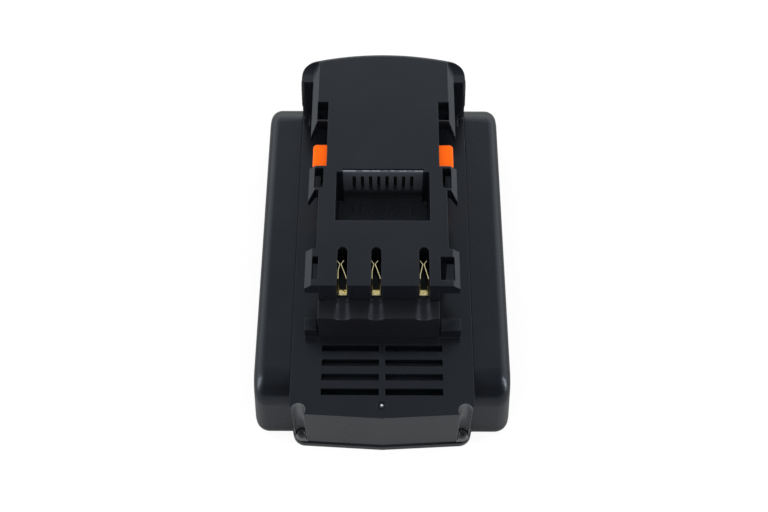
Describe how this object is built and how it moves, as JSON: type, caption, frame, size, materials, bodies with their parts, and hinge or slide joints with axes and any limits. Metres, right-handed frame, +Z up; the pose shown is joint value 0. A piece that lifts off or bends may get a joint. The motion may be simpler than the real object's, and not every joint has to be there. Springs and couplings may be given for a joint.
{
  "type": "power tool battery pack",
  "caption": "Slide-on battery pack for a cordless power tool: rounded casing with a rail tower, spring contacts, a signal socket, sprung side latches and release buttons.",
  "frame": {"origin": "centre of the overall box at the underside of the tray", "axes": "+X to the pack's right, +Y to its rear (the hood end), +Z up out of the base; the nose points to -Y"},
  "size_m": [0.0786, 0.12, 0.0468],
  "materials": {
    "housing_plastic": "moulded, satin",
    "cover_plastic": "fine moulded texture, satin",
    "contact_plastic": "moulded glass-filled plastic",
    "contact_brass": "gold-plated spring brass",
    "latch_plastic": "orange acetal, smooth",
    "steel": "zinc-plated",
    "board_laminate": "glass-epoxy with solder mask",
    "component_epoxy": "moulded epoxy",
    "cell_wrap": "heat-shrunk sleeve",
    "insulating_paper": "vulcanised fibre paper",
    "frame_plastic": "moulded",
    "nickel": "nickel-plated strip"
  },
  "bodies": {
    "pack": {"bottom_tray": "housing_plastic", "main_housing": "housing_plastic", "top_cover": "cover_plastic", "terminal_holder": "contact_plastic", "terminal_negative": "contact_brass", "terminal_sense": "contact_brass", "terminal_positive": "contact_brass", "data_connector": "contact_plastic", "data_contacts": "contact_brass", "latch_spring_left": "steel", "latch_spring_right": "steel", "circuit_board": "board_laminate", "power_transistors": "component_epoxy", "controller_chip": "component_epoxy", "sense_resistor": "component_epoxy", "capacitors": "component_epoxy", "thermistor": "component_epoxy", "cell_1": "cell_wrap", "cell_2": "cell_wrap", "cell_3": "cell_wrap", "cell_4": "cell_wrap", "cell_5": "cell_wrap", "cell_insulator_rings": "insulating_paper", "cell_frame_left": "frame_plastic", "cell_frame_right": "frame_plastic", "link_1_2": "nickel", "link_2_3": "nickel", "link_3_4": "nickel", "link_4_5": "nickel", "negative_tab": "nickel", "positive_tab": "nickel", "insulating_sheet": "insulating_paper", "end_sheet_left": "insulating_paper", "end_sheet_right": "insulating_paper", "nose_screws": "steel", "rear_screws": "steel", "board_screws": "steel"},
    "left_release": {"latch_left": "latch_plastic", "release_button_left": "cover_plastic"},
    "right_release": {"latch_right": "latch_plastic", "release_button_right": "cover_plastic"}
  },
  "joints": [
    {"name": "left_release_slide", "type": "slide", "parent": "pack", "child": "left_release", "axis": [1, 0, 0], "range_m": [0, 0.0024], "stiffness_N_per_m": 800, "springref_m": -0.002, "deforming": ["latch_spring_left"]},
    {"name": "right_release_slide", "type": "slide", "parent": "pack", "child": "right_release", "axis": [-1, 0, 0], "range_m": [0, 0.0024], "stiffness_N_per_m": 800, "springref_m": -0.002, "deforming": ["latch_spring_right"]}
  ]
}
